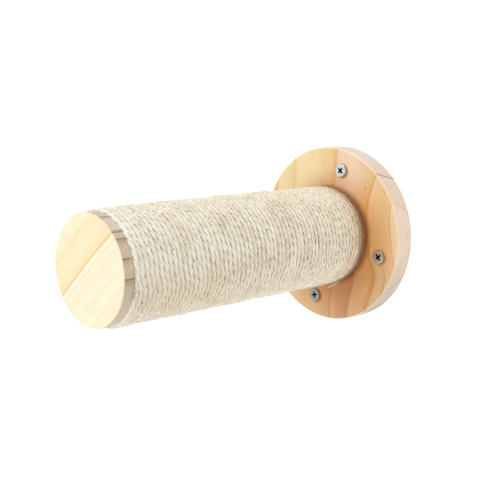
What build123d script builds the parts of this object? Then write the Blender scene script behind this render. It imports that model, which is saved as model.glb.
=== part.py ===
from build123d import *
from math import cos, radians, sin, sqrt, tau
import os

# Cat wall step: a rope-wound wooden peg on a round wooden wall disc. Millimetres.
# The wall is the plane Y = 0, the peg stands out along -Y and +Z is up.
# The origin is the centre of the disc's back face, where the disc lies on the wall.

os.makedirs("parts", exist_ok=True)

# Wooden pieces
overall_length = 217.0  # from the wall to the free end of the peg
disc_diameter = 120.0
disc_thickness = 15.0
disc_edge_radius = 1.0
peg_diameter = 65.0
collar_width = 7.0  # bare band at the peg's free end
collar_edge_radius = 0.8
recess_depth = 2.25  # how much the peg is turned down under the rope

# Sisal rope. The peg carries 58 turns of 3.3 mm rope. The winding here has 24 loops, and each
# stands for a flat band of neighbouring turns that are pressed side by side.
rope_diameter = 3.3
winding_loops = 24
loop_gap = 0.5  # between one loop and the next
rope_seat_clearance = 0.15  # between the rope and the turned-down peg
rope_end_clearance = 0.6  # between the winding and the collar or the disc
rope_start_angle = -22.0  # where the rope's free end shows, from +X towards +Z

# Screws that hold the disc on the wall
wall_screw_count = 4
wall_screw_inset = 14.0  # from the disc's rim to the circle the screws stand on
wall_screw_turn = 76.0  # the first and uppermost screw's place, from +X towards +Z
wall_screw_length = 30.0
wall_screw_head = 8.8
wall_screw_shank = 3.2
wall_screw_thread = 4.5
wall_screw_proud = 1.2  # the heads stand out of the disc by this much
wall_screw_hole = 5.0
wall_screw_tip = 4.0

# Screws that hold the peg on the disc, driven in from the disc's back
peg_screw_count = 3
peg_screw_circle = 36.0
peg_screw_turn = 90.0
peg_screw_length = 60.0
peg_screw_head = 9.6
peg_screw_shank = 3.6
peg_screw_thread = 5.0
peg_screw_sink = 0.3  # the heads lie below the disc's back face by this much
peg_screw_hole = 5.5
peg_screw_tip = 5.0

# What both kinds of screw share
head_rim = 0.5  # straight rim of the head, above its 90 degree cone
head_seat_clearance = 0.05
thread_bore_clearance = 0.05
bore_end_clearance = 1.0  # free depth past the tip of a screw
cross_span = 4.6  # cross recess, from arm to arm
cross_arm = 1.1
cross_floor_span = 1.7
cross_floor_arm = 0.7
cross_depth = 2.4
cross_turns = [45.0, 40.0, 12.0, 47.0]  # each wall screw stopped at its own angle

# Radii and places that follow from the sizes above
disc_radius = disc_diameter / 2
peg_radius = peg_diameter / 2
core_radius = peg_radius - recess_depth
wall_screw_circle = disc_diameter - 2 * wall_screw_inset
rope_inner_radius = core_radius + rope_seat_clearance
rope_outer_radius = rope_inner_radius + rope_diameter
rope_middle_radius = (rope_inner_radius + rope_outer_radius) / 2

disc_front = -disc_thickness
peg_front = -overall_length
collar_back = peg_front + collar_width

winding_front = collar_back + rope_end_clearance
winding_back = disc_front - rope_end_clearance
loop_pitch = (winding_back - winding_front + loop_gap) / (winding_loops + 1)
loop_width = loop_pitch - loop_gap
biarcs_per_loop = 4

into_wall = Vector(0, 1, 0)
into_room = Vector(0, -1, 0)


def turned(outline):
    """Solid of revolution about the Y axis, from (radius, y) corners."""
    return revolve(make_face(Polyline(*outline, close=True)), axis=Axis.Y)


def turned_about_z(outline):
    """Solid of revolution about the local Z axis, from (radius, z) corners."""
    return revolve(Plane.XZ * make_face(Polyline(*outline, close=True)), axis=Axis.Z)


def on_circle(circle, degrees, y):
    """Point on a circle round the Y axis."""
    angle = radians(degrees)
    return Vector(circle / 2 * cos(angle), y, circle / 2 * sin(angle))


def cross_recess():
    """Tapered cross that the driver fits, from the local plane Z = 0 down."""
    arms = []
    for turn in (0, 90):
        mouth = Rectangle(cross_span, cross_arm)
        floor = Pos(0, 0, -cross_depth) * Rectangle(cross_floor_span, cross_floor_arm)
        arms.append(Rot(0, 0, turn) * loft([mouth.face(), floor.face()], ruled=True))
    return arms[0] + arms[1]


def countersunk_screw(length, head, shank, thread, thread_start, tip, cross_turn):
    """Screw along local -Z. Its head's top is at Z = 0."""
    cone_end = -head_rim - (head - shank) / 2
    body = turned_about_z(
        [
            (0, 0),
            (head / 2, 0),
            (head / 2, -head_rim),
            (shank / 2, cone_end),
            (shank / 2, -thread_start),
            (thread / 2, -thread_start),
            (thread / 2, tip - length),
            (0, -length),
        ]
    )
    return body - Rot(0, 0, cross_turn) * cross_recess()


def screw_seat(head, hole, depth):
    """What a screw takes out of the disc: its head's seat and a clearance hole."""
    mouth = head / 2 + head_seat_clearance
    return turned_about_z(
        [
            (0, head),
            (mouth, head),
            (mouth, -head_rim),
            (hole / 2, -head_rim - (mouth - hole / 2)),
            (hole / 2, -depth),
            (0, -depth),
        ]
    )


def screw_frames(count, circle, turn, y, outwards):
    """Planes at the tops of the screw heads, with Z pointing out of the head."""
    frames = []
    for number in range(count):
        place = on_circle(circle, turn - number * 360 / count, y)
        frames.append(Plane(origin=place, x_dir=(1, 0, 0), z_dir=outwards))
    return frames


wall_frames = screw_frames(
    wall_screw_count, wall_screw_circle, wall_screw_turn, disc_front - wall_screw_proud, into_room
)
peg_frames = screw_frames(
    peg_screw_count, peg_screw_circle, peg_screw_turn, -peg_screw_sink, into_wall
)


# Wall disc, drilled and countersunk from the front for the wall and from the back for the peg
def make_wall_disc():
    disc = turned([(0, 0), (disc_radius, 0), (disc_radius, disc_front), (0, disc_front)])
    rims = disc.edges().filter_by(GeomType.CIRCLE).group_by(SortBy.RADIUS)[-1]
    disc = fillet(rims, disc_edge_radius)
    for frame in wall_frames:
        disc -= frame * screw_seat(wall_screw_head, wall_screw_hole, disc_thickness * 2)
    for frame in peg_frames:
        disc -= frame * screw_seat(peg_screw_head, peg_screw_hole, disc_thickness * 2)
    return disc


# Peg, turned down behind its collar and bored for the three screws from the disc
def make_peg():
    peg = turned(
        [
            (0, disc_front),
            (core_radius, disc_front),
            (core_radius, collar_back),
            (peg_radius, collar_back),
            (peg_radius, peg_front),
            (0, peg_front),
        ]
    )
    front_edge = peg.edges().filter_by(GeomType.CIRCLE).sort_by(Axis.Y)[0]
    peg = fillet(front_edge, collar_edge_radius)
    bore_radius = peg_screw_thread / 2 + thread_bore_clearance
    bore_depth = peg_screw_length + bore_end_clearance
    for frame in peg_frames:
        peg -= frame * turned_about_z(
            [(0, 0), (bore_radius, 0), (bore_radius, -bore_depth), (0, -bore_depth)]
        )
    return peg


def helix_point(turn):
    """Point on the winding's centre line, counted in turns from the collar."""
    angle = radians(rope_start_angle) - tau * turn
    y = winding_front + loop_width / 2 + loop_pitch * turn
    return Vector(rope_middle_radius * cos(angle), y, rope_middle_radius * sin(angle))


def helix_direction(turn):
    """Direction of the centre line, clockwise for someone who faces the wall."""
    angle = radians(rope_start_angle) - tau * turn
    sideways = tau * rope_middle_radius
    return Vector(sideways * sin(angle), loop_pitch, -sideways * cos(angle)).normalized()


def biarc(start, start_direction, end, end_direction):
    """Two tangent arcs from one point and direction to another."""
    chord = end - start
    directions = start_direction + end_direction
    spread = 2 * (1 - start_direction.dot(end_direction))
    lean = chord.dot(directions)
    reach = (sqrt(lean**2 + spread * chord.dot(chord)) - lean) / spread
    start_corner = start + start_direction * reach
    end_corner = end - end_direction * reach
    joint = (start_corner + end_corner) * 0.5
    joint_direction = (end_corner - start_corner).normalized()
    return [
        TangentArc(start, joint, tangent=start_direction).edge(),
        TangentArc(joint, end, tangent=joint_direction).edge(),
    ]


def winding_path():
    """Centre line of the winding: a straight end, quarter-turn biarcs and a straight end."""
    first, last = helix_point(0), helix_point(winding_loops)
    first_direction, last_direction = helix_direction(0), helix_direction(winding_loops)
    path = [Edge.make_line(first - first_direction * loop_width, first)]
    for quarter in range(biarcs_per_loop * winding_loops):
        here = quarter / biarcs_per_loop
        there = (quarter + 1) / biarcs_per_loop
        path += biarc(
            helix_point(here), helix_direction(here), helix_point(there), helix_direction(there)
        )
    path.append(Edge.make_line(last, last + last_direction * loop_width))
    return path


def least_loop_gap(path, samples=6):
    """Least distance from the winding to its own next loop, on points of its centre line."""
    points = [edge @ (number / samples) for edge in path for number in range(samples)]
    turn = 2 * biarcs_per_loop * samples
    nearest = min(
        (points[here] - points[there]).length
        for here in range(len(points))
        for there in range(here + turn // 2, min(here + 3 * turn // 2, len(points)))
    )
    return nearest - loop_width


# Rope, one unbroken tube that is held to the thickness of the rope by the peg under it
def make_rope():
    path = winding_path()
    start = Plane(origin=path[0] @ 0, z_dir=helix_direction(0))
    tube = sweep(start * Circle(loop_width / 2), Wire(path))
    layer = turned(
        [
            (rope_inner_radius, collar_back),
            (rope_outer_radius, collar_back),
            (rope_outer_radius, disc_front),
            (rope_inner_radius, disc_front),
        ]
    )
    gap = least_loop_gap(path)
    print(f"rope loops {winding_loops}, pitch {loop_pitch:.3f} mm, least gap {gap:.3f} mm")
    return tube & layer


def make_wall_screws():
    thread_start = wall_screw_proud + disc_thickness
    screws = []
    for number, frame in enumerate(wall_frames):
        screw = countersunk_screw(
            wall_screw_length,
            wall_screw_head,
            wall_screw_shank,
            wall_screw_thread,
            thread_start,
            wall_screw_tip,
            cross_turns[number % len(cross_turns)],
        )
        screws.append(frame * screw)
    return screws


def make_peg_screws():
    thread_start = disc_thickness - peg_screw_sink
    screw = countersunk_screw(
        peg_screw_length,
        peg_screw_head,
        peg_screw_shank,
        peg_screw_thread,
        thread_start,
        peg_screw_tip,
        cross_turn=0.0,
    )
    return [frame * screw for frame in peg_frames]


pieces = {"wall_disc": make_wall_disc(), "peg": make_peg(), "sisal_rope": make_rope()}
for number, screw in enumerate(make_wall_screws(), start=1):
    pieces[f"wall_screw_{number}"] = screw
for number, screw in enumerate(make_peg_screws(), start=1):
    pieces[f"peg_screw_{number}"] = screw

for name, piece in pieces.items():
    export_step(piece, f"parts/{name}.step")
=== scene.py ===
import math

import bmesh
import bpy
import numpy as np
from mathutils import Matrix, Vector


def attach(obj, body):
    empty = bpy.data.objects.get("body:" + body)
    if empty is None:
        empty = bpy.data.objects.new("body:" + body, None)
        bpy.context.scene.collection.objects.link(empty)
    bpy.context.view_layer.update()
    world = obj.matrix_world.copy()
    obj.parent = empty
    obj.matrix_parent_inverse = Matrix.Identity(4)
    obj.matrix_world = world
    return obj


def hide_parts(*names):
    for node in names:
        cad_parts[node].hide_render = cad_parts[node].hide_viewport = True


# Cat wall step: the looks of the rope-wound peg, its wall disc and its screws.
# The wall is the plane Y = 0, the peg stands out along -Y and +Z is up. Meshes are made in
# millimetres and scaled to metres when they become objects.

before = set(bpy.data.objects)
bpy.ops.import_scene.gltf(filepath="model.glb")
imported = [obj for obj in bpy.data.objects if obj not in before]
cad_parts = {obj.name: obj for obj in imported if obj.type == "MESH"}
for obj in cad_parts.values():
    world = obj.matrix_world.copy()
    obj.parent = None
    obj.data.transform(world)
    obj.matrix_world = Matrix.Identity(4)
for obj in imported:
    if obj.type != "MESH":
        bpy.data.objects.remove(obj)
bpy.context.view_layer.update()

MM = 0.001
TAU = 2 * math.pi
AXES = ((1.0, 0.0, 0.0), (0.0, 1.0, 0.0), (0.0, 0.0, 1.0))
X_AXIS, Y_AXIS, Z_AXIS = AXES
WHITE = (1.0, 1.0, 1.0, 1.0)

# Sizes that the CAD model has too
COLLAR_BACK = -210.0
DISC_FRONT = -15.0
DISC_RADIUS = 60.0
ROPE_DIAMETER = 3.3
ROPE_MIDDLE = 32.05
ROPE_OUTER = 33.7
ROPE_START = math.radians(-22.0)
SCREW_CIRCLE_RADIUS = 46.0
HEAD_TOP = -16.2

# The wall screws stand a quarter turn apart, from the uppermost clockwise
SCREW_TURNS = [math.radians(76.0 - 90.0 * number) for number in range(4)]
SCREW_PLACES = [
    (SCREW_CIRCLE_RADIUS * math.cos(turn), SCREW_CIRCLE_RADIUS * math.sin(turn))
    for turn in SCREW_TURNS
]


def linear(red, green, blue):
    """Linear colour from display values of 0 to 255."""
    values = [v / 255 for v in (red, green, blue)]
    return (*(v / 12.92 if v <= 0.04045 else ((v + 0.055) / 1.055) ** 2.4 for v in values), 1.0)


def mesh_object(name, vertices, faces, material, smooth=True):
    """Object from vertices in millimetres and lists of vertex numbers."""
    corners = [tuple(v) for v in np.asarray(vertices, float) * MM]
    mesh = bpy.data.meshes.new(name)
    mesh.from_pydata(corners, [], [list(f) for f in faces])
    mesh.validate()
    mesh.polygons.foreach_set("use_smooth", [smooth] * len(mesh.polygons))
    mesh.update()
    made = bpy.data.objects.new(name, mesh)
    bpy.context.scene.collection.objects.link(made)
    made.data.materials.append(material)
    return made


# Materials


class Shade:
    """A procedural material, built node by node."""

    def __init__(self, name, **fixed):
        self.material = bpy.data.materials.new(name)
        self.material.use_nodes = True
        self.tree = self.material.node_tree
        self.shader = self.tree.nodes["Principled BSDF"]
        for socket, value in fixed.items():
            self.shader.inputs[socket.replace("_", " ")].default_value = value

    def node(self, kind, *inputs, **settings):
        """New node, its inputs linked to sockets or set to values in their order."""
        made = self.tree.nodes.new("ShaderNode" + kind)
        for key, value in settings.items():
            setattr(made, key, value)
        for socket, value in zip(made.inputs, inputs):
            if isinstance(value, bpy.types.NodeSocket):
                self.tree.links.new(value, socket)
            elif value is not None:
                socket.default_value = value
        return made

    def math(self, operation, a, b=None):
        return self.node("Math", a, b, operation=operation).outputs[0]

    def times(self, a, b):
        return self.math("MULTIPLY", a, b)

    def vector(self, operation, a, b=None):
        return self.node("VectorMath", a, b, operation=operation).outputs[0]

    def dot(self, a, b):
        return self.node("VectorMath", a, b, operation="DOT_PRODUCT").outputs["Value"]

    def length(self, a):
        return self.node("VectorMath", a, operation="LENGTH").outputs["Value"]

    def place(self):
        """Where the shaded point lies, in metres."""
        return self.node("TexCoord").outputs["Object"]

    def place_mm(self):
        """Where the shaded point lies, in millimetres."""
        scaled = self.vector("SCALE", self.place())
        scaled.node.inputs["Scale"].default_value = 1 / MM
        return scaled

    def from_line(self, place, x, z):
        """Distance of a place from the line along Y through x and z."""
        offset = self.vector("SUBTRACT", place, (x, 0.0, z))
        return self.length(self.vector("MULTIPLY", offset, (1.0, 0.0, 1.0)))

    def noise(self, vector, scale=1.0, detail=2.0, roughness=0.5):
        made = self.node("TexNoise", vector)
        made.inputs["Scale"].default_value = scale
        made.inputs["Detail"].default_value = detail
        made.inputs["Roughness"].default_value = roughness
        return made.outputs[0]

    def spread(self, value, low, high, to_low=0.0, to_high=1.0):
        """Clamped straight line from low..high to to_low..to_high."""
        return self.node("MapRange", value, low, high, to_low, to_high, clamp=True).outputs[0]

    def ramp(self, value, stops):
        """Colour ramp, from (place, colour) pairs."""
        made = self.node("ValToRGB", value)
        elements = made.color_ramp.elements
        while len(elements) < len(stops):
            elements.new(0.5)
        for element, (place, colour) in zip(elements, stops):
            element.position = place
            element.color = colour
        return made.outputs[0]

    def mix(self, factor, a, b, blend_type="MIX"):
        return self.node("MixRGB", factor, a, b, blend_type=blend_type).outputs[0]

    def colour(self, socket):
        self.tree.links.new(socket, self.shader.inputs["Base Color"])

    def rough(self, socket):
        self.tree.links.new(socket, self.shader.inputs["Roughness"])

    def bump(self, height, distance, strength=1.0):
        made = self.node("Bump")
        made.inputs["Strength"].default_value = strength
        made.inputs["Distance"].default_value = distance
        self.tree.links.new(height, made.inputs["Height"])
        self.tree.links.new(made.outputs[0], self.shader.inputs["Normal"])


def ring_stops(places, low, high):
    """Ramp stops from (place in millimetres, colour) pairs."""
    return [((place - low) / (high - low), colour) for place, colour in places]


def stretched(along, factor):
    """Factors for the three coordinates: factor for the one along the fibres, 1 for the others."""
    factors = [1.0, 1.0, 1.0]
    factors[along] = factor
    return factors


FULL_SWAY = 12.0  # millimetres that the whole range of the sway's ramp stands for


def ring_sway(shade, place, bend):
    """Shift of the rings along X. It grows to the right, where they lean to and fro."""
    height = shade.spread(shade.dot(place, Z_AXIS), -DISC_RADIUS, DISC_RADIUS)
    stops = ring_stops(
        [(z, (*[0.5 + x / FULL_SWAY] * 3, 1.0)) for z, x in bend], -DISC_RADIUS, DISC_RADIUS
    )
    line = shade.ramp(height, stops)
    line.node.color_ramp.interpolation = "CARDINAL"
    weight = shade.spread(shade.dot(place, X_AXIS), -5.0, 34.0, 0.1 * FULL_SWAY, FULL_SWAY)
    shift = shade.times(shade.math("SUBTRACT", line, 0.5), weight)
    return shade.node("CombineXYZ", shift).outputs[0]


def rim_tone(shade, tone, rim, place, normal, lines, ring_place):
    """Greyer wood round the disc's edge, with painted shade low down and a painted highlight where
    the edge is rounded.
    """
    facing = shade.math("ABSOLUTE", shade.dot(normal, Y_AXIS))
    on_rim = shade.spread(facing, 0.3, 0.8, 1.0, 0.0)
    tone = shade.mix(shade.spread(facing, 0.35, 0.9, 0.55, 0.0), tone, rim)
    streaks = shade.times(shade.spread(lines, 0.3, 0.46, 0.35, 0.0), on_rim)
    tone = shade.mix(streaks, tone, linear(176, 140, 110))
    # Painted shade: darker below
    low_part = shade.spread(shade.dot(place, Z_AXIS), -42.0, -12.0, 1.0, 0.0)
    tone = shade.mix(shade.times(low_part, on_rim), tone, (0.86, 0.85, 0.84, 1.0), "MULTIPLY")
    # The darkest ring runs on over the rim as a thin line
    ring_line = shade.times(
        shade.spread(ring_place, 33.3, 34.2), shade.spread(ring_place, 34.4, 34.9, 0.7, 0.0)
    )
    tone = shade.mix(shade.times(ring_line, on_rim), tone, linear(122, 92, 70))
    # Painted highlight on the rounded edge
    edge = shade.times(shade.spread(facing, 0.15, 0.4), shade.spread(facing, 0.8, 0.99, 1.0, 0.0))
    return shade.mix(shade.times(edge, 0.5), tone, linear(252, 228, 196))


def wood(
    name,
    along,
    pith,
    start,
    rings,
    ring_range,
    other,
    side_tint,
    end_tint,
    stray,
    bend=(),
    rim=None,
    near_post=(),
    spots=(),
):
    """Softwood. All sizes are in millimetres.

    along: the axis of the fibres, 1 for Y or 2 for Z
    pith: the far centre of the growth rings, in the two other coordinates
    start: the distance from the pith that counts as 0
    rings: (distance, colour) pairs inside ring_range
    other: a second set of rings, shown below a height or on the faces along the fibres
    side_tint, end_tint: colours that multiply the faces along and across the fibres
    stray: how far the rings wander along the fibres
    bend: (z, shift along X) pairs for the rings to the right
    rim: the colour that the disc's edge fades to
    near_post: (x, z, near, far, strength, post_shade_tint), painted shade on the front that fades
    from near to far
    spots: (centre, size, colour) of small round stains and painted shadows
    """
    shade = Shade(name, Roughness=0.5, Specular_IOR_Level=0.35)
    place = shade.place_mm()
    across = stretched(along, 0.0)
    slow_place = shade.vector("MULTIPLY", place, stretched(along, 0.22))
    # The rings wander slowly along the fibres
    waves = shade.noise(slow_place, 0.03, 1.5).node.outputs["Color"]
    shift = shade.vector("SUBTRACT", waves, (0.5, 0.5, 0.5))
    shift = shade.vector("MULTIPLY", shift, [stray * v for v in across])
    bent = shade.vector("ADD", place, shift)
    if bend:
        bent = shade.vector("SUBTRACT", bent, ring_sway(shade, place, bend))
    centre = [pith[0], 0.0, 0.0]
    centre[3 - along] = pith[1]
    away = shade.vector("MULTIPLY", shade.vector("SUBTRACT", bent, centre), across)
    ring_place = shade.math("SUBTRACT", shade.length(away), start)
    low, high = ring_range
    ring = shade.spread(ring_place, low, high)
    tone = shade.ramp(ring, ring_stops(rings, low, high))
    # The other set of rings takes over below a height, or off the end grain
    normal = shade.node("NewGeometry").outputs["Normal"]
    endness = shade.math("ABSOLUTE", shade.dot(normal, AXES[along]))
    if along == 2:
        shown = shade.spread(shade.dot(place, Z_AXIS), -26.0, -8.0, 1.0, 0.0)
    else:
        shown = shade.spread(endness, 0.3, 0.7, 1.0, 0.0)
    tone = shade.mix(shown, tone, shade.ramp(ring, ring_stops(other, low, high)))
    # Fine lines along the fibres
    fibre_place = shade.vector("MULTIPLY", bent, stretched(along, 0.018))
    lines = shade.noise(fibre_place, 1.1, 3.0, 0.6)
    fine = shade.noise(fibre_place, 3.6, 2.0, 0.6)
    fibres = shade.math("ADD", shade.times(lines, 0.65), shade.times(fine, 0.35))
    light = shade.spread(fibres, 0.3, 0.7, 0.93, 1.045)
    # Broad pale and dark clouds
    clouds = shade.noise(slow_place, 0.075, 2.0)
    light = shade.times(light, shade.spread(clouds, 0.25, 0.75, 0.955, 1.04))
    # Short dark pores
    pores = shade.noise(shade.vector("MULTIPLY", place, stretched(along, 0.12)), 1.5, 1.0)
    light = shade.times(light, shade.spread(pores, 0.73, 0.8, 1.0, 0.82))
    grey = shade.node("CombineXYZ", light, light, light).outputs[0]
    tone = shade.mix(1.0, tone, grey, "MULTIPLY")
    # Faces across the fibres take another tint than faces along them
    tint = shade.mix(shade.spread(endness, 0.3, 0.85), side_tint, end_tint)
    tone = shade.mix(1.0, tone, tint, "MULTIPLY")
    if rim:
        tone = rim_tone(shade, tone, rim, place, normal, lines, ring_place)
    # Painted shade on the front round the post, and a painted contact shadow by the rope's end
    if near_post:
        in_front = shade.math("LESS_THAN", shade.dot(place, Y_AXIS), DISC_FRONT + 1.0)
        for x, z, near, far, strength, post_shade_tint in near_post:
            fading = shade.spread(shade.from_line(place, x, z), near, far, strength, 0.0)
            tone = shade.mix(shade.times(fading, in_front), tone, post_shade_tint, "MULTIPLY")
    # Small stains, and painted shadows beside the wall screws' heads
    for centre_mm, size_mm, colour in spots:
        offset = shade.vector("DIVIDE", shade.vector("SUBTRACT", place, centre_mm), size_mm)
        tone = shade.mix(shade.spread(shade.length(offset), 0.6, 1.0, 0.75, 0.0), tone, colour)
    shade.colour(tone)
    shade.rough(shade.spread(fibres, 0.3, 0.7, 0.56, 0.44))
    shade.bump(fibres, 0.00006, 0.7)
    return shade.material


RECESS_REACH = 2.7  # radius that holds a whole cross recess
# Painted shade inside the cross recesses
RECESS_SHADE = (0.035, 0.032, 0.03, 1.0)


def steel(name, tint, roughness, recess=None):
    """Plated steel with a faint turned and scratched finish. recess is where a cross recess is
    painted dark as shade: the screw's x and z, and the least and greatest y."""
    shade = Shade(name, Metallic=1.0)
    place = shade.place_mm()
    grime = shade.noise(place, 0.9, 3.0, 0.6)
    scratches = shade.noise(shade.vector("MULTIPLY", place, (0.5, 6.0, 4.0)), 1.4, 3.0, 0.7)
    dull = (*(0.8 * v for v in tint[:3]), 1.0)
    tone = shade.mix(shade.spread(grime, 0.3, 0.7), tint, dull)
    # Painted shade inside the cross recess
    if recess:
        x, z, least, most = recess
        y = shade.dot(place, Y_AXIS)
        inside = shade.math("LESS_THAN", shade.from_line(place, x, z), RECESS_REACH)
        inside = shade.times(inside, shade.spread(y, least, least + 0.25))
        inside = shade.times(inside, shade.math("LESS_THAN", y, most))
        tone = shade.mix(inside, tone, RECESS_SHADE)
    shade.colour(tone)
    both = shade.math("ADD", shade.times(grime, 0.5), shade.times(scratches, 0.5))
    shade.rough(shade.spread(both, 0.3, 0.7, roughness - 0.07, roughness + 0.1))
    shade.bump(scratches, 0.00002, 0.5)
    return shade.material


def sisal(name, pale, dark, shift):
    """Twisted sisal fibres, from the strand and depth values that the mesh carries. shift sets the
    pattern of one ply apart from the next one's. Places are in metres, strand and depth are not."""
    shade = Shade(
        name, Roughness=0.82, Specular_IOR_Level=0.2, Sheen_Weight=0.15, Sheen_Roughness=0.5
    )
    strand = shade.node("Attribute", attribute_name="strand").outputs["Vector"]
    depth = shade.node("Attribute", attribute_name="depth").outputs["Fac"]
    strand = shade.vector("ADD", strand, (shift, 0.0, 0.0))

    def strand_noise(stretch, scale, detail, roughness=0.5):
        return shade.noise(shade.vector("MULTIPLY", strand, stretch), scale, detail, roughness)

    fibres = strand_noise((1.0, 1.0, 0.05), 6.5, 3.0, 0.65)
    bundles = strand_noise((1.0, 1.0, 0.09), 2.2, 2.0)
    wisps = shade.math("ADD", shade.times(fibres, 0.55), shade.times(bundles, 0.45))
    tone = shade.mix(shade.spread(wisps, 0.28, 0.72), dark, pale)
    # Long tan stretches where another bundle of fibres comes to the surface
    lengthwise = strand_noise((0.0, 0.0, 1.0), 0.045, 3.0, 0.6)
    tone = shade.mix(shade.spread(lengthwise, 0.56, 0.74, 0.0, 0.45), tone, linear(222, 208, 178))
    # A few brown fibres
    specks = strand_noise((1.0, 1.0, 0.12), 3.1, 1.0)
    tone = shade.mix(shade.spread(specks, 0.68, 0.75, 0.0, 0.6), tone, linear(150, 122, 84))
    # Broken dust and shade between the plies, deeper towards the disc
    place = shade.place()
    y = shade.dot(place, Y_AXIS)
    groove = shade.times(
        shade.spread(depth, -1.5, -0.45, 1.0, 0.0), shade.spread(y, -0.21, -0.07, 0.15, 0.95)
    )
    breaks = shade.noise(place, 330.0, 1.0)
    groove = shade.times(groove, shade.spread(breaks, 0.38, 0.6, 0.15, 1.0))
    tone = shade.mix(groove, tone, linear(156, 130, 94))
    # Broad tan and pale patches
    patches = shade.noise(place, 90.0, 3.0)
    tone = shade.mix(shade.spread(patches, 0.52, 0.68, 0.0, 0.35), tone, linear(220, 204, 172))
    tone = shade.mix(shade.spread(patches, 0.32, 0.46, 0.35, 0.0), tone, linear(251, 248, 239))
    # Painted shade: tan below the middle on the +X side, near the collar
    off_band = shade.math("ABSOLUTE", shade.math("ADD", shade.dot(place, Z_AXIS), 0.016))
    side = shade.spread(shade.dot(place, X_AXIS), 0.0, 0.01)
    side_shade = shade.times(shade.spread(off_band, 0.005, 0.02, 0.55, 0.0), side)
    side_shade = shade.times(side_shade, shade.spread(y, -0.16, -0.10, 1.0, 0.0))
    tone = shade.mix(side_shade, tone, linear(222, 207, 176))
    # Small brown blots
    blots = shade.noise(place, 560.0, 0.0)
    tone = shade.mix(shade.spread(blots, 0.75, 0.80, 0.0, 0.65), tone, linear(138, 114, 84))
    # Paler beside the collar, yellower towards the disc
    tone = shade.mix(shade.spread(y, -0.2078, -0.2062, 0.3, 0.0), tone, linear(253, 251, 246))
    warm = shade.mix(shade.spread(y, -0.2, -0.06), WHITE, (1.0, 0.978, 0.92, 1.0))
    tone = shade.mix(1.0, tone, warm, "MULTIPLY")
    # Painted shade where the last turns lie near the disc, and a brown painted contact shadow
    # against it
    tone = shade.mix(shade.spread(y, -0.036, -0.02, 0.0, 0.35), tone, linear(218, 174, 124))
    tone = shade.mix(shade.spread(y, -0.0235, -0.0172, 0.0, 0.88), tone, linear(128, 70, 28))
    shade.colour(tone)
    shade.bump(wisps, 0.0003, 1.0)
    return shade.material


def fibre_material(name, pale, dark):
    """Loose sisal, with painted shade where it lies against the disc."""
    shade = Shade(name, Roughness=0.7, Specular_IOR_Level=0.25)
    place = shade.place()
    streaks = shade.noise(place, 900.0, 1.0)
    tone = shade.mix(shade.spread(streaks, 0.35, 0.65), pale, dark)
    y = shade.dot(place, Y_AXIS)
    # Painted shade where the fibres lie against the disc
    shade.colour(shade.mix(shade.spread(y, -0.028, -0.018, 0.0, 0.8), tone, linear(150, 98, 56)))
    shade.bump(streaks, 0.00003)
    return shade.material


# Wood of the disc: fibres upright, with sharp pale edges to the right of each darker ring
YELLOW = linear(241, 216, 166)
YELLOW_DEEP = linear(236, 203, 144)
ORANGE = linear(222, 174, 118)
PEACH = linear(240, 208, 177)
PEACH_DEEP = linear(236, 196, 150)
HONEY = linear(225, 187, 140)
disc_rings = [
    (-64.0, YELLOW),
    (-44.0, YELLOW_DEEP),
    (-40.5, linear(229, 188, 126)),
    (-38.5, YELLOW),
    (-30.5, YELLOW),
    (-27.0, YELLOW_DEEP),
    (-24.5, linear(244, 221, 172)),
    (-8.0, YELLOW),
    (2.0, YELLOW_DEEP),
    (5.0, linear(229, 186, 130)),
    (5.7, ORANGE),
    (6.4, linear(238, 200, 160)),
    (9.0, PEACH),
    (20.0, PEACH),
    (28.0, PEACH_DEEP),
    (32.4, linear(231, 186, 131)),
    (34.2, ORANGE),
    (34.7, linear(212, 160, 104)),
    (35.5, linear(236, 200, 152)),
    (45.0, linear(232, 192, 140)),
    (51.6, linear(231, 189, 138)),
    (52.6, linear(217, 171, 120)),
    (53.2, linear(238, 204, 162)),
    (64.0, linear(236, 204, 166)),
]
# Rings of the disc's lower block, their tones also darkened a little as painted shade below the
# post
disc_low_rings = [
    (-64.0, HONEY),
    (-34.0, linear(219, 181, 133)),
    (-31.0, HONEY),
    (-6.0, linear(217, 175, 128)),
    (3.2, linear(210, 164, 116)),
    (4.2, linear(196, 145, 99)),
    (5.2, linear(215, 172, 128)),
    (16.5, linear(202, 154, 111)),
    (19.6, linear(195, 145, 99)),
    (21.2, linear(220, 181, 139)),
    (31.0, linear(217, 173, 124)),
    (35.5, linear(202, 152, 97)),
    (37.0, linear(221, 187, 142)),
    (42.6, linear(219, 182, 136)),
    (43.5, linear(196, 150, 104)),
    (44.2, linear(221, 185, 139)),
    (64.0, linear(225, 194, 158)),
]
disc_bend = [
    (-60, -4.0),
    (-50, -3.8),
    (-27, 3.7),
    (-15, 0.9),
    (6, -2.2),
    (25, -1.8),
    (41, 3.6),
    (46, 5.2),
    (60, 6.0),
]
small_knot = ((32.1, DISC_FRONT, 34.2), (0.35, 2.0, 1.5), linear(140, 92, 56))
# Painted shadows: a brown crescent shows to the right of each wall screw's head
screw_shadows = [
    ((x + 1.0, DISC_FRONT, z - 0.5), (6.0, 2.0, 6.0), linear(150, 92, 56)) for x, z in SCREW_PLACES
]
disc_wood = wood(
    "disc_pine",
    along=2,
    pith=(-149.0, 61.0),
    start=165.9,
    rings=disc_rings,
    ring_range=(-64.0, 64.0),
    other=disc_low_rings,
    side_tint=WHITE,
    end_tint=(0.72, 0.73, 0.77, 1.0),
    stray=2.0,
    bend=disc_bend,
    rim=linear(221, 213, 206),
    # Painted shade round the post's foot, and a dark painted contact shadow by the rope's last turn
    near_post=[
        (6.0, -6.0, 33.0, 54.0, 1.0, (0.88, 0.68, 0.45, 1.0)),
        (3.5, 0.0, 31.0, 35.2, 0.85, (0.55, 0.40, 0.27, 1.0)),
    ],
    spots=[small_knot, *screw_shadows],
)

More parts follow.
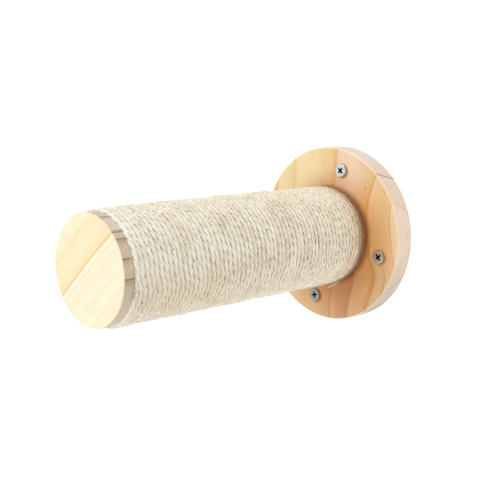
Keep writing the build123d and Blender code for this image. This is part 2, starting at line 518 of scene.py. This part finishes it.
# Wood of the peg: fibres along its axis, rings across the end face
CREAM = linear(252, 240, 211)
CREAM_DEEP = linear(250, 234, 200)
BAND = linear(246, 228, 206)
BAND_DEEP = linear(222, 192, 160)
BAND_DARK = linear(168, 124, 88)
peg_rings = [
    (-36.0, CREAM),
    (-23.4, CREAM_DEEP),
    (-21.7, CREAM),
    (-14.0, CREAM_DEEP),
    (-12.3, CREAM),
    (-4.0, CREAM_DEEP),
    (-2.1, CREAM),
    (0.2, linear(248, 229, 190)),
    (0.9, CREAM),
    (3.0, CREAM),
    (3.7, linear(230, 194, 138)),
    (4.8, linear(246, 222, 174)),
    (12.0, linear(252, 234, 194)),
    (19.0, linear(251, 231, 189)),
    (21.5, linear(249, 227, 182)),
    (23.0, linear(252, 236, 199)),
    (36.0, CREAM),
]
peg_side_rings = [
    (-36.0, BAND),
    (-25.5, BAND),
    (-21.6, BAND_DEEP),
    (-21.0, BAND_DARK),
    (-20.6, BAND),
    (-15.5, BAND),
    (-12.3, BAND_DEEP),
    (-11.6, BAND_DARK),
    (-11.2, BAND),
    (-5.0, BAND),
    (-1.2, BAND_DEEP),
    (-0.4, BAND_DARK),
    (0.0, BAND),
    (3.2, BAND),
    (3.8, BAND_DARK),
    (4.4, linear(222, 190, 160)),
    (6.0, linear(255, 243, 230)),
    (14.5, linear(255, 243, 230)),
    (16.0, BAND_DEEP),
    (16.5, linear(184, 142, 106)),
    (17.2, BAND),
    (36.0, BAND),
]
peg_wood = wood(
    "peg_pine",
    along=1,
    pith=(390.6, -455.4),
    start=600.0,
    rings=peg_rings,
    ring_range=(-36.0, 36.0),
    other=peg_side_rings,
    side_tint=(0.60, 0.57, 0.53, 1.0),
    end_tint=WHITE,
    stray=1.2,
)
# One plated steel, with a tint of its own for each wall screw: painted reflection and shade
STEEL_TINTS = [
    (0.74, 0.74, 0.73, 1.0),
    (0.56, 0.53, 0.48, 1.0),
    (0.37, 0.37, 0.36, 1.0),
    (0.58, 0.57, 0.55, 1.0),
]
wall_steels = [
    steel(f"wall_steel_{number + 1}", tint, 0.3, recess=(*place, HEAD_TOP + 0.02, -13.0))
    for number, (tint, place) in enumerate(zip(STEEL_TINTS, SCREW_PLACES))
]
peg_steel = steel("peg_steel", (0.70, 0.66, 0.56, 1.0), 0.33)

kept_nodes = {"wall_disc": disc_wood, "peg": peg_wood}
kept_nodes.update({f"peg_screw_{number}": peg_steel for number in (1, 2, 3)})
for node, made_of in kept_nodes.items():
    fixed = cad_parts[node]
    fixed.data.materials.clear()
    fixed.data.materials.append(made_of)


# Wall screws, with a rounded rim, a cross recess and a cut thread

LATHE_SIDES = 48
CROSS_CORNERS = 12
THREAD_STEPS = 24  # in one turn of the thread
TIP_RADIUS = 0.12
RIDGE_ROOT = 0.2  # how deep the thread's ridge is set into the core


def lathe(rings):
    """Vertices and faces between rings of (radius, z) about the local Z axis, downwards."""
    turn = TAU * np.arange(LATHE_SIDES) / LATHE_SIDES
    vertices = [(r * math.cos(a), r * math.sin(a), z) for r, z in rings for a in turn]
    faces = []
    for ring in range(len(rings) - 1):
        for k in range(LATHE_SIDES):
            there = (k + 1) % LATHE_SIDES
            a, b = ring * LATHE_SIDES, (ring + 1) * LATHE_SIDES
            faces.append([a + k, b + k, b + there, a + there])
    faces.append([(len(rings) - 1) * LATHE_SIDES + k for k in range(LATHE_SIDES - 1, -1, -1)])
    return vertices, faces


def cross_outline(span, arm, z):
    """Corners of a cross, anticlockwise from above."""
    s, a = span / 2, arm / 2
    quarter = [(s, -a), (s, a), (a, a)]
    corners = []
    for k in range(4):
        cos, sin = round(math.cos(k * TAU / 4)), round(math.sin(k * TAU / 4))
        corners += [(x * cos - y * sin, x * sin + y * cos, z) for x, y in quarter]
    return corners


def make_wall_screw(number, cross_turn):
    head, shank, thread, core = 4.4, 1.6, 2.25, 1.5  # radii
    head_rim, thread_start, length, tip, lead = 0.5, 16.2, 30.0, 4.0, 2.0
    rings = [
        (head - 0.30, 0.0),
        (head - 0.12, -0.05),
        (head, -0.22),
        (head, -head_rim),
        (shank, -head_rim - (head - shank)),
        (shank, -thread_start),
        (core, -thread_start - 0.4),
        (core, tip - length),
        (TIP_RADIUS, -length),
    ]
    vertices, faces = lathe(rings)
    # Walls and floor of the cross recess
    mouth = len(vertices)
    floor_start = mouth + CROSS_CORNERS
    turned = Matrix.Rotation(math.radians(cross_turn), 3, "Z")
    for corner in cross_outline(4.9, 1.35, 0.0) + cross_outline(1.9, 0.8, -2.4):
        vertices.append(tuple(turned @ Vector(corner)))
    for k in range(CROSS_CORNERS):
        there = (k + 1) % CROSS_CORNERS
        faces.append([floor_start + k, floor_start + there, mouth + there, mouth + k])
    faces.append([floor_start + k for k in range(CROSS_CORNERS)])
    # Flat top between the rim and the mouth of the cross
    numbers = [*range(LATHE_SIDES), *range(mouth, floor_start)]
    flat = bmesh.new()
    corners = [flat.verts.new(vertices[k]) for k in numbers]
    for loop in (corners[:LATHE_SIDES], corners[LATHE_SIDES:]):
        for k, corner in enumerate(loop):
            flat.edges.new((corner, loop[(k + 1) % len(loop)]))
    bmesh.ops.triangle_fill(flat, use_beauty=True, edges=flat.edges[:], normal=(0, 0, 1))
    flat.verts.index_update()
    for face in flat.faces:
        ring = [numbers[v.index] for v in face.verts]
        faces.append(ring if face.normal.z > 0 else ring[::-1])
    flat.free()
    # One ridge, three-sided, that runs round the core and dies out at both ends
    ridge_start = len(vertices)
    steps = int((length - thread_start - 1.2) / lead * THREAD_STEPS)
    for k in range(steps + 1):
        angle = TAU * k / THREAD_STEPS
        z = -thread_start - 0.3 - lead * k / THREAD_STEPS
        taper = min(1.0, k / 10, (steps - k) / 30)
        cone = TIP_RADIUS + (core - TIP_RADIUS) * (z + length) / tip
        root = min(core, cone) - RIDGE_ROOT
        crest = root + RIDGE_ROOT + (thread - core) * taper
        for radius, shift in ((root, 0.42), (crest, 0.0), (root, -0.42)):
            shifted = z + shift * max(taper, 0.2)
            vertices.append((radius * math.cos(angle), radius * math.sin(angle), shifted))
    for k in range(steps):
        for side in range(3):
            a, b = ridge_start + 3 * k + side, ridge_start + 3 * k + (side + 1) % 3
            faces.append([a, b, b + 3, a + 3])
    faces.append([ridge_start + 2, ridge_start + 1, ridge_start])
    faces.append([ridge_start + 3 * steps + k for k in range(3)])
    # Local Z points out of the head, into the room
    x, z = SCREW_PLACES[number]
    placed = [(x + vx, HEAD_TOP - vz, z + vy) for vx, vy, vz in vertices]
    made = mesh_object(f"wall_screw_{number + 1}_threaded", placed, faces, wall_steels[number])
    outwards = bmesh.new()
    outwards.from_mesh(made.data)
    bmesh.ops.recalc_face_normals(outwards, faces=outwards.faces[:])
    outwards.to_mesh(made.data)
    outwards.free()
    made.data.set_sharp_from_angle(angle=math.radians(35))
    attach(made, "root")
    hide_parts(f"wall_screw_{number + 1}")


for number, cross_turn in enumerate((45.0, 40.0, 12.0, 47.0)):
    make_wall_screw(number, cross_turn)


# Rope: three plies laid round one another, wound on the peg

ROPE_TURNS = 57.5
RINGS_PER_TURN = 200
PLY_SIDES = 8
LAY = 16.5  # length of rope in which the plies turn once round one another
PLY_REACH = 0.69  # from the rope's centre line to a ply's
PLY_RADIUS = 0.99
END_CLEARANCE = 0.1
CROSSING_STARTS = 0.93  # part of the first turn that lies flat against the collar
FLAT_TURNS = 45.0  # after these, the winding is an even helix
END_LENGTH = 7.0  # part of each end of the rope in which the plies splay


def wander(along, step, seed):
    """Smooth random line with knots a step apart, about -2 to 2."""
    knots = np.random.default_rng(seed).normal(size=int(along.max() / step) + 5)
    place = along / step
    first = np.floor(place).astype(int)
    part = place - first
    a, b, c, d = (knots[first + k] for k in range(4))
    cubic = 3 * (b - c) + d - a
    return b + 0.5 * part * (c - a + part * (2 * a - 5 * b + 4 * c - d + part * cubic))


def eased(value):
    """0 below 0, 1 above 1 and smooth between."""
    value = np.clip(value, 0, 1)
    return value * value * (3 - 2 * value)


def flat_turns(turn):
    """How far a winding that starts flat lags behind an even helix, in turns."""
    part = turn % 1.0
    crossing = eased((part - CROSSING_STARTS) / (1 - CROSSING_STARTS))
    fading = 1 - eased((turn - 0.9) / FLAT_TURNS)
    return fading * (crossing - part)


def winding(turn):
    """Centre line of the rope, its outward direction and the length so far, at these turns."""
    length = turn * TAU * ROPE_MIDDLE
    pitch = (DISC_FRONT - COLLAR_BACK - ROPE_DIAMETER - 2 * END_CLEARANCE) / ROPE_TURNS
    step = turn + flat_turns(turn) - flat_turns(ROPE_TURNS - turn)
    y = COLLAR_BACK + ROPE_DIAMETER / 2 + END_CLEARANCE + pitch * step
    inside = eased(np.minimum(turn, ROPE_TURNS - turn) / 1.5)
    y = y + inside * (0.06 * wander(length, 37.0, 11) + 0.04 * wander(length, 11.0, 12))
    radius = ROPE_MIDDLE + 0.06 * wander(length, 29.0, 13) + 0.04 * wander(length, 9.0, 14)
    angle = ROPE_START - TAU * turn
    outward = np.stack([np.cos(angle), np.zeros_like(angle), np.sin(angle)], -1)
    middle = outward * radius[:, None]
    middle[:, 1] = y
    return middle, outward, length


def ply_line(turn, ply):
    """Centre line of one ply, its outward direction, its angle round the rope and the length."""
    middle, outward, length = winding(turn)
    sideways = np.array(Y_AXIS)
    lay_angle = TAU * length / LAY + 0.35 * wander(length, 70.0, 21) + TAU * ply / 3
    near_end = np.minimum(length, length.max() - length)
    splay = 1 + 0.45 * (1 - eased(near_end / END_LENGTH))
    reach = PLY_REACH * (1 + 0.05 * wander(length, 23.0, 30 + ply)) * splay
    line = middle + reach[:, None] * (
        0.97 * np.cos(lay_angle)[:, None] * outward + 1.12 * np.sin(lay_angle)[:, None] * sideways
    )
    return line, outward, lay_angle, length


def make_ply(ply, material):
    rings = int(ROPE_TURNS * RINGS_PER_TURN) + 1
    turn = np.linspace(0, ROPE_TURNS, rings)
    line, outward, lay_angle, length = ply_line(turn, ply)
    ahead = np.gradient(line, axis=0)
    ahead /= np.linalg.norm(ahead, axis=1)[:, None]
    up = outward - (outward * ahead).sum(1)[:, None] * ahead
    up /= np.linalg.norm(up, axis=1)[:, None]
    side = np.cross(ahead, up)
    side *= np.sign(side[:, 1])[:, None]
    round_ply = TAU * np.arange(PLY_SIDES) / PLY_SIDES
    uneven = 0.045 * wander(length, 14.0, 40 + ply) + 0.03 * wander(length, 4.5, 50 + ply)
    thickness = PLY_RADIUS * (1 + uneven)
    cos, sin = np.cos(round_ply), np.sin(round_ply)
    vertices = (
        line[:, None, :]
        + thickness[:, None, None] * cos[None, :, None] * up[:, None, :]
        + thickness[:, None, None] * sin[None, :, None] * side[:, None, :]
    )
    # What the material needs: the place in the twisted strand and the depth under the surface
    twist = round_ply[None, :] + (PLY_REACH / PLY_RADIUS) * lay_angle[:, None]
    lengthwise = np.broadcast_to(length[:, None], twist.shape)
    strand = np.stack([PLY_RADIUS * np.cos(twist), PLY_RADIUS * np.sin(twist), lengthwise], -1)
    depth = np.hypot(vertices[..., 0], vertices[..., 2]) - ROPE_OUTER
    ring = np.arange(rings - 1)[:, None] * PLY_SIDES
    here = np.arange(PLY_SIDES)[None, :]
    there = (here + 1) % PLY_SIDES
    next_ring = ring + PLY_SIDES
    quads = np.stack([ring + here, ring + there, next_ring + there, next_ring + here], -1)
    quads = quads.reshape(-1, 4)
    last = (rings - 1) * PLY_SIDES
    caps = [list(range(PLY_SIDES - 1, -1, -1)), [last + k for k in range(PLY_SIDES)]]
    # The faces point outwards when up, side and ahead are a right-handed set
    if np.linalg.det(np.stack([up[0], side[0], ahead[0]])) < 0:
        quads = quads[:, ::-1]
        caps = [cap[::-1] for cap in caps]
    made = mesh_object(
        f"sisal_ply_{ply + 1}", vertices.reshape(-1, 3), [*quads.tolist(), *caps], material
    )
    for name, kind, field, values in (
        ("strand", "FLOAT_VECTOR", "vector", strand),
        ("depth", "FLOAT", "value", depth),
    ):
        attribute = made.data.attributes.new(name, kind, "POINT")
        attribute.data.foreach_set(field, values.astype(np.float32).ravel())
    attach(made, "root")
    return made


PALE = linear(249, 245, 234)
DIM = linear(231, 223, 205)
plies = [make_ply(ply, sisal(f"sisal_{ply + 1}", PALE, DIM, 10.0 * ply)) for ply in range(3)]
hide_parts("sisal_rope")


# Loose fibres, in three meshes

LONG_FIBRES = 700
STRAY_FIBRES = 70
SHORT_FIBRES = 6500
UNLAID_FIBRES = 110
FRAYED_FIBRES = 34
WEDGE_WIDTH = 3.25  # between the collar and the second turn, beside the rope's free end


def fibre_tube(points, radius, sides=3):
    """Vertices and faces of a thin tapered tube along points."""
    points = np.asarray(points, float)
    ahead = np.gradient(points, axis=0)
    ahead /= np.linalg.norm(ahead, axis=1)[:, None] + 1e-9
    helper = np.where(np.abs(ahead[:, 1:2]) > 0.8, [X_AXIS], [Y_AXIS])
    first = np.cross(ahead, helper)
    first /= np.linalg.norm(first, axis=1)[:, None] + 1e-9
    second = np.cross(ahead, first)
    count = len(points)
    near_end = np.minimum(np.arange(count), np.arange(count)[::-1])
    taper = radius * np.minimum(1.0, 0.35 + 3 * near_end / count)
    turn = TAU * np.arange(sides) / sides
    rings = points[:, None, :] + taper[:, None, None] * (
        np.cos(turn)[None, :, None] * first[:, None, :]
        + np.sin(turn)[None, :, None] * second[:, None, :]
    )
    faces = []
    for ring in range(count - 1):
        for k in range(sides):
            there = (k + 1) % sides
            a, b = ring * sides, (ring + 1) * sides
            faces.append([a + k, a + there, b + there, b + k])
    faces.append(list(range(sides - 1, -1, -1)))
    faces.append([(count - 1) * sides + k for k in range(sides)])
    return rings.reshape(-1, 3), faces


def on_winding(angle, y, height):
    """Point above the winding's outer surface."""
    radius = ROPE_OUTER + height
    return np.stack([radius * np.cos(angle), y, radius * np.sin(angle)], -1)


def straight_run(steps, angle, y, length, heading):
    """Angles and y of a straight line on the winding. heading is its slant from the turns."""
    angles = angle - length * steps * np.cos(heading) / ROPE_OUTER
    return angles, y + length * np.sin(heading) * steps


def long_fibre(draw):
    """Lies on the winding, slanted across the turns."""
    steps = np.linspace(0, 1, 10)
    length = draw.uniform(5, 20)
    heading = draw.normal(0.0, 0.6)
    bend = draw.normal(0.0, 0.25)
    start = draw.uniform(0, TAU)
    start_y = draw.uniform(COLLAR_BACK + 4, DISC_FRONT - 4)
    angle, y = straight_run(steps, start, start_y, length, heading)
    y = np.clip(y + bend * 4 * steps * (1 - steps), COLLAR_BACK + 1.0, DISC_FRONT - 1.0)
    arch = draw.uniform(0.05, 0.5) * np.sin(math.pi * steps)
    height = -0.10 + arch + 0.08 * draw.normal(size=10)
    return fibre_tube(on_winding(angle, y, height), draw.uniform(0.07, 0.13))


def stray_fibre(draw):
    """Pale, thick and slanted far across the turns."""
    steps = np.linspace(0, 1, 10)
    length = draw.uniform(6, 20)
    heading = draw.choice([-1, 1]) * draw.uniform(0.5, 1.3)
    start = draw.uniform(0, TAU)
    start_y = draw.uniform(COLLAR_BACK + 14, DISC_FRONT - 14)
    angle, y = straight_run(steps, start, start_y, length, heading)
    y = np.clip(y + 0.6 * np.sin(3 * steps), COLLAR_BACK + 1.0, DISC_FRONT - 1.0)
    height = 0.1 + draw.uniform(0.1, 0.7) * np.sin(math.pi * steps)
    return fibre_tube(on_winding(angle, y, height), draw.uniform(0.15, 0.23))


def short_fibre(draw):
    """Stands off the winding by a little."""
    steps = np.linspace(0, 1, 5)
    length = draw.uniform(1.5, 7.0)
    heading = draw.normal(0.0, 0.8)
    lift = 1.3 * draw.uniform(0.1, 1.0) ** 3
    start = draw.uniform(0, TAU)
    start_y = draw.uniform(COLLAR_BACK + 1, DISC_FRONT - 1)
    angle, y = straight_run(steps, start, start_y, length, heading)
    y = np.clip(y, COLLAR_BACK + 0.3, DISC_FRONT - 0.3)
    height = -0.3 + (0.25 + lift) * steps**1.3
    return fibre_tube(on_winding(angle, y, height), draw.uniform(0.04, 0.075))


def unlaid_fibre(draw):
    """Part of the rope's unlaid free end, which fills the wedge beside the collar."""
    steps = np.linspace(0, 1, 9)
    reach = math.radians(draw.uniform(8.0, 30.0))
    angle = ROPE_START - 0.03 + reach * steps
    part = 1 - (angle - ROPE_START) / TAU
    width = WEDGE_WIDTH * eased((part - CROSSING_STARTS) / (1 - CROSSING_STARTS))
    across = draw.uniform(0.02, 0.98) + 0.08 * np.sin(steps * 4 + draw.uniform(0, TAU))
    across = np.clip(across, 0.0, 1.0)
    y = COLLAR_BACK + END_CLEARANCE + across * width
    height = -0.1 - 0.6 * (2 * across - 1) ** 2 - 1.1 * draw.uniform() ** 2
    return fibre_tube(on_winding(angle, y, height), draw.uniform(0.14, 0.24))


def frayed_fibre(draw):
    """Part of the rope's frayed tip, beside the collar and a little over it."""
    steps = np.linspace(0, 1, 7)
    heading = draw.normal(0.9, 0.7)
    length = draw.uniform(1.5, 4.5)
    start = ROPE_START + draw.normal(0, 0.02)
    start_y = -208.2 + draw.normal(0, 0.5)
    # These run the other way, back over the collar
    angle, y = straight_run(steps, start, start_y, -length, heading)
    y = np.maximum(y, COLLAR_BACK - 3.5)
    height = draw.uniform(-1.6, -0.2) * (1 - steps) + draw.uniform(-1.0, 0.4) * steps
    height = np.where(y < COLLAR_BACK + 0.2, np.maximum(height, -1.1), height)
    return fibre_tube(on_winding(angle, y, height), draw.uniform(0.06, 0.11))


def gather(tubes):
    """Vertices and faces of all tubes together."""
    vertices, faces, start = [], [], 0
    for tube_vertices, tube_faces in tubes:
        vertices.append(tube_vertices)
        faces += [[start + k for k in face] for face in tube_faces]
        start += len(tube_vertices)
    return np.concatenate(vertices), faces


draw = np.random.default_rng(5)
long_tubes = [long_fibre(draw) for _ in range(LONG_FIBRES)]
stray_tubes = [stray_fibre(draw) for _ in range(STRAY_FIBRES)]
short_tubes = [short_fibre(draw) for _ in range(SHORT_FIBRES)]
short_tubes += [unlaid_fibre(draw) for _ in range(UNLAID_FIBRES)]
short_tubes += [frayed_fibre(draw) for _ in range(FRAYED_FIBRES)]
# A curled fibre over the collar, in degrees and y, and a long one that hangs loose near the disc
curl = np.array(
    [(17.5, -208.8), (17.8, -211.0), (15.0, -212.6), (11.0, -212.4), (8.0, -211.3), (6.0, -209.2)]
)
curl_height = np.full(len(curl), -1.0)
stray_tubes.append(fibre_tube(on_winding(np.radians(curl[:, 0]), curl[:, 1], curl_height), 0.2))
loose = [(19.7, -24.0, -28.4), (19.9, -29.4, -30.4), (20.0, -34.7, -31.6), (20.2, -40.0, -32.4)]
stray_tubes.append(fibre_tube(loose, 0.26))

plain_fibre = fibre_material("sisal_fibre", linear(250, 246, 234), linear(216, 200, 166))
pale_fibre = fibre_material("sisal_fibre_pale", linear(255, 253, 246), linear(246, 238, 218))
for name, group, material in (
    ("sisal_fibres_long", long_tubes, plain_fibre),
    ("sisal_fibres_stray", stray_tubes, pale_fibre),
    ("sisal_fibres_short", short_tubes, plain_fibre),
):
    fibres = mesh_object(name, *gather(group), material)
    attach(fibres, "root")


# Stage, lights and camera

AMBIENT = 0.91
BACKDROP = 1.05  # strength of the background where the camera sees it
FLOOR_GLOW = 0.24
FLOOR_REACH = 40000.0
FLOOR_HEIGHT = -1000.0
SENSOR_WIDTH = 36.0
FOCAL_PIXELS = 955.69  # focal length of the camera that fits the photo
PHOTO_PIXELS = 502

floor_shade = Shade(
    "floor_white",
    Base_Color=(0.9, 0.9, 0.9, 1.0),
    Roughness=0.9,
    Emission_Color=WHITE,
    Emission_Strength=FLOOR_GLOW,
)
floor = mesh_object(
    "floor",
    [
        (x * FLOOR_REACH, y * FLOOR_REACH, FLOOR_HEIGHT)
        for x, y in ((-1, -1), (1, -1), (1, 1), (-1, 1))
    ],
    [[0, 1, 2, 3]],
    floor_shade.material,
    smooth=False,
)

world = bpy.data.worlds.new("studio")
bpy.context.scene.world = world
world.use_nodes = True
sky = world.node_tree
background = sky.nodes["Background"]
background.inputs["Color"].default_value = WHITE
background.inputs["Strength"].default_value = AMBIENT
seen = sky.nodes.new("ShaderNodeBackground")
seen.inputs["Color"].default_value = WHITE
seen.inputs["Strength"].default_value = BACKDROP
path = sky.nodes.new("ShaderNodeLightPath")
choose = sky.nodes.new("ShaderNodeMixShader")
sky.links.new(path.outputs["Is Camera Ray"], choose.inputs[0])
sky.links.new(background.outputs[0], choose.inputs[1])
sky.links.new(seen.outputs[0], choose.inputs[2])
sky.links.new(choose.outputs[0], sky.nodes["World Output"].inputs[0])


def area_light(name, place, target, size, power):
    """Round soft lamp that points at a target. Places in metres."""
    lamp = bpy.data.lights.new(name, "AREA")
    lamp.shape = "DISK"
    lamp.size = size
    lamp.energy = power
    made = bpy.data.objects.new(name, lamp)
    made.location = place
    made.rotation_mode = "QUATERNION"
    made.rotation_quaternion = (Vector(target) - Vector(place)).to_track_quat("-Z", "Y")
    bpy.context.scene.collection.objects.link(made)


peg_middle = (0.0, -0.11, 0.0)
area_light("key", (-0.95, -1.1, 0.85), peg_middle, size=0.9, power=3.8)
area_light("top", (0.1, -0.1, 1.4), peg_middle, size=0.8, power=5.7)

camera_data = bpy.data.cameras.new("camera")
camera_data.sensor_width = SENSOR_WIDTH
camera_data.lens = FOCAL_PIXELS / PHOTO_PIXELS * SENSOR_WIDTH
camera_data.clip_start = 0.01
camera_data.clip_end = 200.0
camera = bpy.data.objects.new("camera", camera_data)
camera_place = Vector((0.42940, -0.51759, 0.09517))
camera_target = Vector((0.0, -0.090694, -0.003437))
camera.location = camera_place
camera.rotation_mode = "QUATERNION"
camera.rotation_quaternion = (camera_target - camera_place).to_track_quat("-Z", "Y")
bpy.context.scene.collection.objects.link(camera)
bpy.context.scene.camera = camera
bpy.context.scene.view_settings.view_transform = "Standard"
